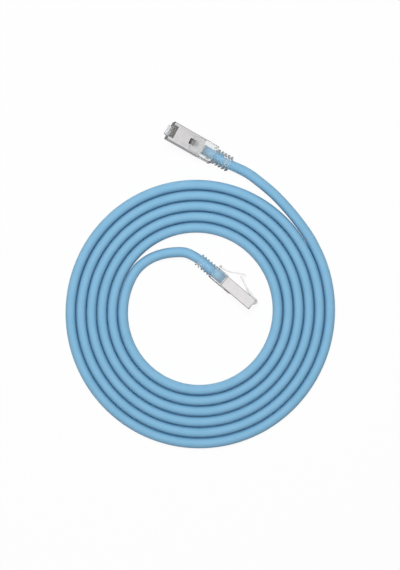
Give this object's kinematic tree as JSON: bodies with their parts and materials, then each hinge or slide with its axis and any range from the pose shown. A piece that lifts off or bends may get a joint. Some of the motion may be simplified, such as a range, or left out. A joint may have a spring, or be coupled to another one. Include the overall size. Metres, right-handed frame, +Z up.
{
  "type": "patch cable",
  "caption": "Flat-coiled light blue network patch cable with a shielded 8P8C plug, clear boot, sprung latch and latch guard on each end.",
  "frame": {"origin": "on the resting plane, under the middle of the whole cable's box", "axes": "+Z up out of the resting plane; +Y from the coil's middle towards the plug that lies outside the coil; +X to the right seen from above"},
  "size_m": [0.1666, 0.2009, 0.0189],
  "materials": {
    "blue_jacket": "extruded light blue PVC jacket, satin",
    "clear_body": "clear moulded polycarbonate",
    "grey_bar": "grey moulded polycarbonate",
    "clear_boot": "clear soft moulded PVC",
    "nickel_shield": "stamped sheet, bright nickel plating",
    "contact_plate": "nickel-plated phosphor bronze",
    "copper_wire": "bare stranded copper",
    "orange_wire": "orange and white polyethylene insulation",
    "green_wire": "green and white polyethylene insulation",
    "blue_wire": "blue and white polyethylene insulation",
    "brown_wire": "brown and white polyethylene insulation",
    "white_separator": "natural polyethylene",
    "foil_screen": "foil and tinned copper braid"
  },
  "bodies": {
    "cable": {"cable_coil": "blue_jacket", "lead_a": "blue_jacket", "lead_b": "blue_jacket", "housing_a": "clear_body", "contacts_a": "contact_plate", "load_bar_a": "grey_bar", "shield_a": "nickel_shield", "boot_a": "clear_boot", "pair_orange_a": "orange_wire", "pair_green_a": "green_wire", "pair_blue_a": "blue_wire", "pair_brown_a": "brown_wire", "conductors_a": "copper_wire", "separator_a": "white_separator", "screen_a": "foil_screen", "jacket_end_a": "blue_jacket", "housing_b": "clear_body", "contacts_b": "contact_plate", "load_bar_b": "grey_bar", "shield_b": "nickel_shield", "boot_b": "clear_boot", "pair_orange_b": "orange_wire", "pair_green_b": "green_wire", "pair_blue_b": "blue_wire", "pair_brown_b": "brown_wire", "conductors_b": "copper_wire", "separator_b": "white_separator", "screen_b": "foil_screen", "jacket_end_b": "blue_jacket"},
    "latch_a": {"latch_a": "clear_body"},
    "guard_a": {"latch_guard_a": "clear_boot"},
    "latch_b": {"latch_b": "clear_body"},
    "guard_b": {"latch_guard_b": "clear_boot"}
  },
  "joints": [
    {"name": "latch_a_press", "type": "hinge", "parent": "cable", "child": "latch_a", "pos_m": [-0.01912, 0.09507, 0.01267], "axis": [-0.4553, -0.8863, 0.0846], "range_deg": [0, 10], "stiffness_Nm_per_rad": 0.1},
    {"name": "guard_a_press", "type": "hinge", "parent": "cable", "child": "guard_a", "pos_m": [0.00546, 0.08146, 0.00238], "axis": [-0.4553, -0.8863, 0.0846], "range_deg": [-11, 0], "stiffness_Nm_per_rad": 0.02},
    {"name": "latch_b_press", "type": "hinge", "parent": "cable", "child": "latch_b", "pos_m": [0.03334, -0.00968, 0.00605], "axis": [0, 0, 1], "range_deg": [0, 10], "stiffness_Nm_per_rad": 0.1},
    {"name": "guard_b_press", "type": "hinge", "parent": "cable", "child": "guard_b", "pos_m": [0.01269, 0.01196, 0.00605], "axis": [0, 0, 1], "range_deg": [-11, 0], "stiffness_Nm_per_rad": 0.02}
  ],
  "couplings": [
    {"joint": "guard_a_press", "follows": "latch_a_press", "ratio": -1.1},
    {"joint": "guard_b_press", "follows": "latch_b_press", "ratio": -1.1}
  ]
}
